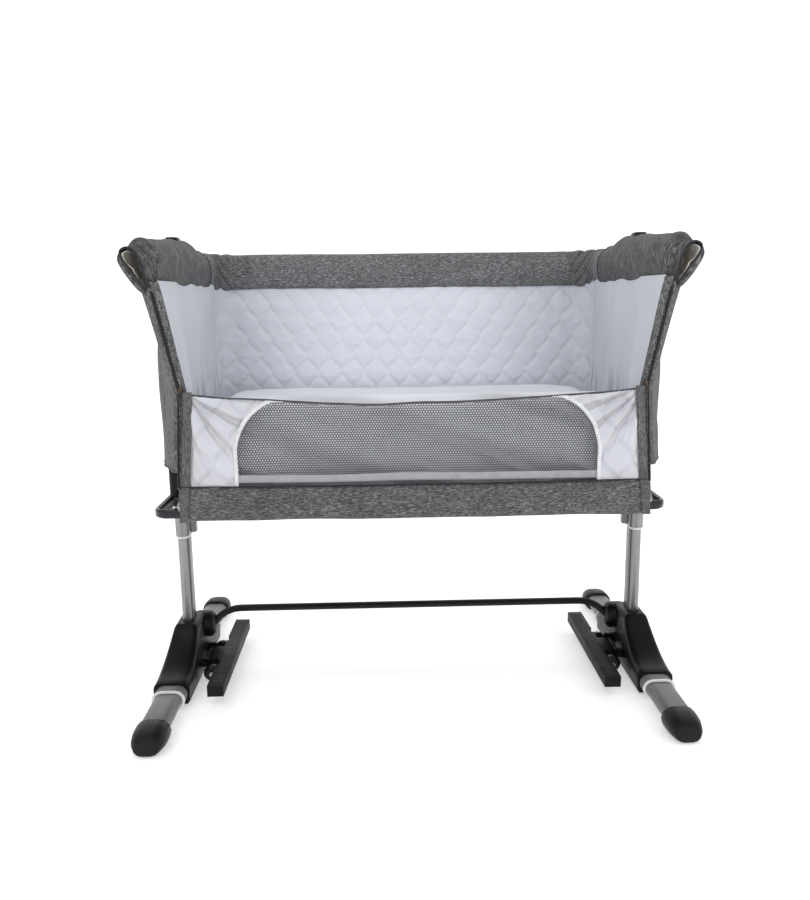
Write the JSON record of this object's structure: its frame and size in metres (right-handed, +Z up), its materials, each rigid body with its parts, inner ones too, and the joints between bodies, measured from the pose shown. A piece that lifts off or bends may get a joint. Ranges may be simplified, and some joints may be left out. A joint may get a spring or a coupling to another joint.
{
  "type": "bedside bassinet",
  "caption": "Bedside bassinet: fabric tub with drop-down mesh side on a height-adjustable two-post stand with sliding feet.",
  "frame": {"origin": "on the floor, midway between the four feet", "axes": "+Z up, +X to the right of someone who faces the drop side, -Y towards that person"},
  "size_m": [0.96, 0.66, 0.843],
  "materials": {
    "black_plastic": "moulded, satin",
    "wheel_plastic": "smooth moulded",
    "black_metal": "satin black powder coat",
    "rubber": "matte",
    "cream_plastic": "matte",
    "foot_tube": "silver grey lacquer",
    "aluminium": "satin anodised extrusion",
    "steel": "zinc plated",
    "white_cloth": "quilted microfibre",
    "heather_cloth": "grey heather woven",
    "board": "stiff board in black cloth"
  },
  "bodies": {
    "stand": {"base_housing_left": "black_plastic", "base_housing_right": "black_plastic", "foot_sleeve_left": "foot_tube", "foot_sleeve_right": "foot_tube", "foot_bushing_front_left": "cream_plastic", "foot_bushing_rear_left": "cream_plastic", "foot_bushing_front_right": "cream_plastic", "foot_bushing_rear_right": "cream_plastic", "post_inner_left": "aluminium", "post_inner_right": "aluminium", "crossbar": "black_metal", "pedal_spring_left": "steel", "pedal_spring_right": "steel"},
    "foot_front_left": {"foot_tube_front_left": "foot_tube", "foot_cap_front_left": "rubber"},
    "foot_rear_left": {"foot_tube_rear_left": "foot_tube", "foot_cap_rear_left": "rubber"},
    "pedal_left": {"pedal_left": "black_plastic", "wheel_axle_left": "steel"},
    "wheel_front_left": {"wheel_front_left": "wheel_plastic"},
    "wheel_rear_left": {"wheel_rear_left": "wheel_plastic"},
    "foot_front_right": {"foot_tube_front_right": "foot_tube", "foot_cap_front_right": "rubber"},
    "foot_rear_right": {"foot_tube_rear_right": "foot_tube", "foot_cap_rear_right": "rubber"},
    "pedal_right": {"pedal_right": "black_plastic", "wheel_axle_right": "steel"},
    "wheel_front_right": {"wheel_front_right": "wheel_plastic"},
    "wheel_rear_right": {"wheel_rear_right": "wheel_plastic"},
    "bassinet": {"post_sleeve_left": "aluminium", "post_sleeve_right": "aluminium", "sleeve_bushing_left": "cream_plastic", "sleeve_bushing_right": "cream_plastic", "post_head_left": "black_plastic", "post_head_right": "black_plastic", "rail_joint_left": "black_plastic", "rail_joint_right": "black_plastic", "side_rail_left": "steel", "side_rail_right": "steel", "back_rail": "steel", "lower_frame": "steel", "base_board": "board", "mattress": "white_cloth", "liner_left": "white_cloth", "liner_right": "white_cloth", "back_wall": "white_cloth", "front_wall": "white_cloth", "side_cover_left": "heather_cloth", "side_cover_right": "heather_cloth", "side_rail_sleeve_left": "heather_cloth", "side_rail_sleeve_right": "heather_cloth", "back_rail_sleeve": "heather_cloth"},
    "drop_side": {"front_panel": "white_cloth", "front_rail": "steel"},
    "release_ring_left": {"release_ring_left": "black_plastic"},
    "lock_pin_left": {"lock_pin_left": "steel"},
    "zip_slider_left": {"zip_slider_left": "steel"},
    "release_ring_right": {"release_ring_right": "black_plastic"},
    "lock_pin_right": {"lock_pin_right": "steel"},
    "zip_slider_right": {"zip_slider_right": "steel"}
  },
  "joints": [
    {"name": "height_slide", "type": "slide", "parent": "stand", "child": "bassinet", "axis": [0, 0, 1], "range_m": [-0.144, 0]},
    {"name": "foot_slide_front_left", "type": "slide", "parent": "stand", "child": "foot_front_left", "axis": [0, 1, 0], "range_m": [0, 0.08]},
    {"name": "foot_slide_rear_left", "type": "slide", "parent": "stand", "child": "foot_rear_left", "axis": [0, -1, 0], "range_m": [0, 0.08]},
    {"name": "foot_slide_front_right", "type": "slide", "parent": "stand", "child": "foot_front_right", "axis": [0, 1, 0], "range_m": [0, 0.08]},
    {"name": "foot_slide_rear_right", "type": "slide", "parent": "stand", "child": "foot_rear_right", "axis": [0, -1, 0], "range_m": [0, 0.08]},
    {"name": "pedal_press_left", "type": "hinge", "parent": "stand", "child": "pedal_left", "pos_m": [-0.4063, 0, 0.034], "axis": [0, 1, 0], "range_deg": [0, 20], "stiffness_Nm_per_rad": 1.2, "springref_deg": -14.32},
    {"name": "wheel_spin_front_left", "type": "hinge", "parent": "pedal_left", "child": "wheel_front_left", "pos_m": [-0.389, -0.058, 0.021], "axis": [0, 1, 0], "continuous": true},
    {"name": "wheel_spin_rear_left", "type": "hinge", "parent": "pedal_left", "child": "wheel_rear_left", "pos_m": [-0.389, 0.058, 0.021], "axis": [0, 1, 0], "continuous": true},
    {"name": "pedal_press_right", "type": "hinge", "parent": "stand", "child": "pedal_right", "pos_m": [0.4063, 0, 0.034], "axis": [0, -1, 0], "range_deg": [0, 20], "stiffness_Nm_per_rad": 1.2, "springref_deg": -14.32},
    {"name": "wheel_spin_front_right", "type": "hinge", "parent": "pedal_right", "child": "wheel_front_right", "pos_m": [0.389, -0.058, 0.021], "axis": [0, 1, 0], "continuous": true},
    {"name": "wheel_spin_rear_right", "type": "hinge", "parent": "pedal_right", "child": "wheel_rear_right", "pos_m": [0.389, 0.058, 0.021], "axis": [0, 1, 0], "continuous": true},
    {"name": "drop_side_fold", "type": "hinge", "parent": "bassinet", "child": "drop_side", "pos_m": [0, -0.288, 0.59], "axis": [-1, 0, 0], "range_deg": [0, 180]},
    {"name": "ring_lift_left", "type": "slide", "parent": "bassinet", "child": "release_ring_left", "axis": [0, 0, 1], "range_m": [0, 0.01], "stiffness_N_per_m": 400, "springref_m": -0.004},
    {"name": "pin_draw_left", "type": "slide", "parent": "bassinet", "child": "lock_pin_left", "axis": [1, 0, 0], "range_m": [0, 0.005]},
    {"name": "zip_slide_left", "type": "slide", "parent": "bassinet", "child": "zip_slider_left", "axis": [-0.203, 0, 0.9792], "range_m": [0, 0.155]},
    {"name": "ring_lift_right", "type": "slide", "parent": "bassinet", "child": "release_ring_right", "axis": [0, 0, 1], "range_m": [0, 0.01], "stiffness_N_per_m": 400, "springref_m": -0.004},
    {"name": "pin_draw_right", "type": "slide", "parent": "bassinet", "child": "lock_pin_right", "axis": [-1, 0, 0], "range_m": [0, 0.005]},
    {"name": "zip_slide_right", "type": "slide", "parent": "bassinet", "child": "zip_slider_right", "axis": [0.203, 0, 0.9792], "range_m": [0, 0.155]}
  ],
  "couplings": [
    {"joint": "pin_draw_left", "follows": "ring_lift_left", "ratio": 0.5},
    {"joint": "pin_draw_right", "follows": "ring_lift_right", "ratio": 0.5}
  ]
}
